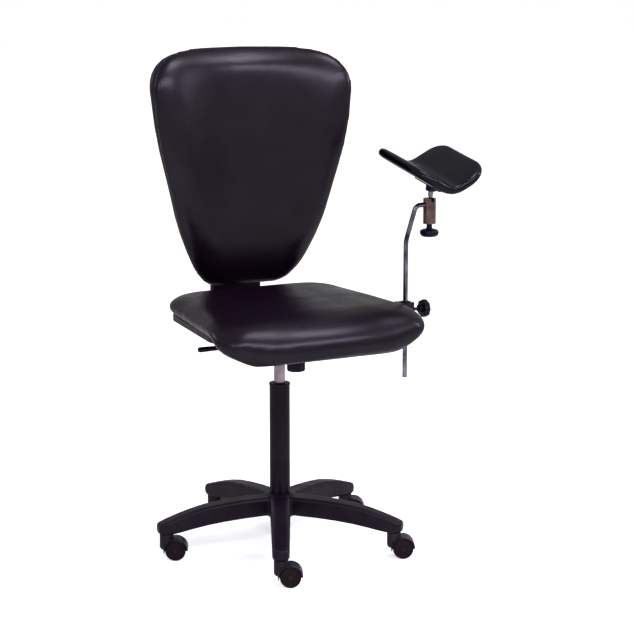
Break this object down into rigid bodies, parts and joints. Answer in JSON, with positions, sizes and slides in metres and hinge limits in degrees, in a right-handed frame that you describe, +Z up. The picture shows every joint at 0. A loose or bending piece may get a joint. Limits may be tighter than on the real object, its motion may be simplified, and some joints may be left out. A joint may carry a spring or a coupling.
{
  "type": "blood donor chair",
  "caption": "Height-adjustable swivel chair for giving blood, with a wide wrapped back and a padded forearm rest on a clamped ball-jointed rod.",
  "frame": {"origin": "on the floor, under the column's axis", "axes": "+Z up, the chair's front faces -Y, +X is the sitter's left, the arm support's side"},
  "size_m": [0.7671, 0.612, 1.223],
  "materials": {
    "black_nylon": "satin",
    "black_plastic": "satin",
    "wheel_rubber": "matte",
    "black_steel": "satin",
    "gas_black": "gloss",
    "satin_steel": "satin",
    "bright_chrome": "polished",
    "upholstery": "satin",
    "plywood": "matte"
  },
  "bodies": {
    "base": {"star_base": "black_nylon", "column_tube": "black_steel", "column_bush": "black_nylon", "thrust_bearing": "satin_steel", "caster_stems": "satin_steel"},
    "piston": {"piston_rod": "satin_steel", "column_clip": "satin_steel"},
    "lift": {"gas_cylinder": "gas_black", "mech_housing": "black_steel", "tilt_pin": "satin_steel", "tension_spring": "satin_steel"},
    "lever": {"lever_rod": "satin_steel", "lever_grip": "black_nylon", "lever_bush": "black_nylon"},
    "release": {"release_pin": "satin_steel"},
    "seat": {"tilt_plate": "black_steel", "seat_shell": "black_nylon", "seat_panel": "plywood", "seat_cushion": "upholstery", "panel_bolts": "satin_steel", "back_bar": "black_steel", "bar_cover": "black_nylon", "arm_bracket": "black_steel", "clamp_block": "black_steel"},
    "bolt": {"tension_bolt": "black_steel"},
    "washer": {"tension_washer": "satin_steel"},
    "tension": {"tension_knob": "black_plastic"},
    "back": {"back_cushion": "upholstery", "back_panel": "plywood", "back_shell": "black_nylon", "back_guide": "black_nylon"},
    "shoe": {"back_shoe": "satin_steel"},
    "back_clamp": {"back_knob": "black_plastic"},
    "arm_bush": {"clamp_bush": "black_nylon"},
    "arm": {"arm_rod": "bright_chrome", "ball_socket": "satin_steel"},
    "arm_shoe": {"clamp_shoe": "satin_steel"},
    "arm_clamp": {"clamp_knob": "black_plastic"},
    "cup": {"ball_cup": "black_nylon"},
    "ball": {"pad_ball": "bright_chrome"},
    "pad": {"pad_plate": "satin_steel", "arm_pad": "upholstery", "pad_screws": "satin_steel"},
    "thrust": {"thrust_pad": "satin_steel"},
    "socket_clamp": {"socket_knob": "black_plastic"},
    "caster_1": {"caster_1_hood": "black_plastic", "caster_1_axle": "satin_steel"},
    "wheels_1": {"caster_1_wheels": "wheel_rubber"},
    "caster_2": {"caster_2_hood": "black_plastic", "caster_2_axle": "satin_steel"},
    "wheels_2": {"caster_2_wheels": "wheel_rubber"},
    "caster_3": {"caster_3_hood": "black_plastic", "caster_3_axle": "satin_steel"},
    "wheels_3": {"caster_3_wheels": "wheel_rubber"},
    "caster_4": {"caster_4_hood": "black_plastic", "caster_4_axle": "satin_steel"},
    "wheels_4": {"caster_4_wheels": "wheel_rubber"},
    "caster_5": {"caster_5_hood": "black_plastic", "caster_5_axle": "satin_steel"},
    "wheels_5": {"caster_5_wheels": "wheel_rubber"}
  },
  "joints": [
    {"name": "seat_swivel", "type": "hinge", "parent": "base", "child": "piston", "pos_m": [0, 0, 0.0772], "axis": [0, 0, 1], "continuous": true},
    {"name": "seat_lift", "type": "slide", "parent": "piston", "child": "lift", "axis": [0, 0, 1], "range_m": [-0.065, 0.075]},
    {"name": "lever_lift", "type": "hinge", "parent": "lift", "child": "lever", "pos_m": [-0.0445, 0, 0.5381], "axis": [0, 1, 0], "range_deg": [0, 3.5], "stiffness_Nm_per_rad": 2, "springref_deg": -4.58},
    {"name": "release_press", "type": "slide", "parent": "lift", "child": "release", "axis": [0, 0, -1], "range_m": [0, 0.0031]},
    {"name": "seat_tilt", "type": "hinge", "parent": "lift", "child": "seat", "pos_m": [0, -0.038, 0.545], "axis": [-1, 0, 0], "range_deg": [0, 12], "stiffness_Nm_per_rad": 90, "springref_deg": -28.65, "deforming": ["tension_spring"]},
    {"name": "tension_bolt_swing", "type": "hinge", "parent": "seat", "child": "bolt", "pos_m": [0, -0.09, 0.55], "axis": [-1, 0, 0], "range_deg": [-12, 0]},
    {"name": "tension_travel", "type": "slide", "parent": "bolt", "child": "washer", "axis": [0, 0, 1], "range_m": [-0.003, 0.006], "deforming": ["tension_spring"]},
    {"name": "tension_turn", "type": "hinge", "parent": "washer", "child": "tension", "pos_m": [0, -0.09, 0.47], "axis": [0, 0, 1], "range_deg": [-720, 1440]},
    {"name": "back_height", "type": "slide", "parent": "seat", "child": "back", "axis": [0, 0, 1], "range_m": [-0.01, 0.045]},
    {"name": "back_shoe_travel", "type": "slide", "parent": "back", "child": "shoe", "axis": [0, 1, 0], "range_m": [0, 0.0015]},
    {"name": "back_knob_turn", "type": "hinge", "parent": "shoe", "child": "back_clamp", "pos_m": [0, 0.28, 0.809], "axis": [0, 1, 0], "range_deg": [0, 360]},
    {"name": "arm_turn", "type": "hinge", "parent": "seat", "child": "arm_bush", "pos_m": [0.295, -0.098, 0.587], "axis": [0, 0, 1], "continuous": true},
    {"name": "arm_lift", "type": "slide", "parent": "arm_bush", "child": "arm", "axis": [0, 0, 1], "range_m": [-0.12, 0.12]},
    {"name": "arm_shoe_travel", "type": "slide", "parent": "seat", "child": "arm_shoe", "axis": [1, 0, 0], "range_m": [0, 0.00125]},
    {"name": "arm_knob_turn", "type": "hinge", "parent": "arm_shoe", "child": "arm_clamp", "pos_m": [0.345, -0.098, 0.587], "axis": [1, 0, 0], "range_deg": [0, 360]},
    {"name": "pad_yaw", "type": "hinge", "parent": "arm", "child": "cup", "pos_m": [0.3605, -0.098, 0.846], "axis": [0, 0, 1], "continuous": true},
    {"name": "pad_tilt", "type": "hinge", "parent": "cup", "child": "ball", "pos_m": [0.3605, -0.098, 0.846], "axis": [1, 0, 0], "range_deg": [-32, 12]},
    {"name": "pad_turn", "type": "hinge", "parent": "ball", "child": "pad", "pos_m": [0.3605, -0.098, 0.846], "axis": [0, -0.1908, 0.9816], "continuous": true},
    {"name": "thrust_travel", "type": "slide", "parent": "arm", "child": "thrust", "axis": [0, 0, -1], "range_m": [0, 0.0015]},
    {"name": "socket_knob_turn", "type": "hinge", "parent": "thrust", "child": "socket_clamp", "pos_m": [0.3605, -0.098, 0.77], "axis": [0, 0, -1], "range_deg": [0, 360]},
    {"name": "caster_1_swivel", "type": "hinge", "parent": "base", "child": "caster_1", "pos_m": [-0.12576, -0.26131, 0.055], "axis": [0, 0, 1], "continuous": true},
    {"name": "caster_1_roll", "type": "hinge", "parent": "caster_1", "child": "wheels_1", "pos_m": [-0.10599, -0.27096, 0.025], "axis": [0.4384, 0.8988, 0], "continuous": true},
    {"name": "caster_2_swivel", "type": "hinge", "parent": "base", "child": "caster_2", "pos_m": [0.20966, -0.20036, 0.055], "axis": [0, 0, 1], "continuous": true},
    {"name": "caster_2_roll", "type": "hinge", "parent": "caster_2", "child": "wheels_2", "pos_m": [0.22943, -0.21, 0.025], "axis": [0.4384, 0.8988, 0], "continuous": true},
    {"name": "caster_3_swivel", "type": "hinge", "parent": "base", "child": "caster_3", "pos_m": [0.25534, 0.13749, 0.055], "axis": [0, 0, 1], "continuous": true},
    {"name": "caster_3_roll", "type": "hinge", "parent": "caster_3", "child": "wheels_3", "pos_m": [0.27511, 0.12784, 0.025], "axis": [0.4384, 0.8988, 0], "continuous": true},
    {"name": "caster_4_swivel", "type": "hinge", "parent": "base", "child": "caster_4", "pos_m": [-0.05185, 0.28533, 0.055], "axis": [0, 0, 1], "continuous": true},
    {"name": "caster_4_roll", "type": "hinge", "parent": "caster_4", "child": "wheels_4", "pos_m": [-0.03208, 0.27568, 0.025], "axis": [0.4384, 0.8988, 0], "continuous": true},
    {"name": "caster_5_swivel", "type": "hinge", "parent": "base", "child": "caster_5", "pos_m": [-0.28739, 0.03886, 0.055], "axis": [0, 0, 1], "continuous": true},
    {"name": "caster_5_roll", "type": "hinge", "parent": "caster_5", "child": "wheels_5", "pos_m": [-0.26761, 0.02921, 0.025], "axis": [0.4384, 0.8988, 0], "continuous": true}
  ],
  "couplings": [
    {"joint": "release_press", "follows": "lever_lift", "m_per_rad": 0.049},
    {"joint": "tension_bolt_swing", "follows": "seat_tilt", "ratio": -1},
    {"joint": "tension_turn", "follows": "tension_travel", "rad_per_m": 4188.8},
    {"joint": "back_knob_turn", "follows": "back_shoe_travel", "rad_per_m": 4188.8},
    {"joint": "arm_knob_turn", "follows": "arm_shoe_travel", "rad_per_m": 5026.5},
    {"joint": "socket_knob_turn", "follows": "thrust_travel", "rad_per_m": 4188.8}
  ]
}
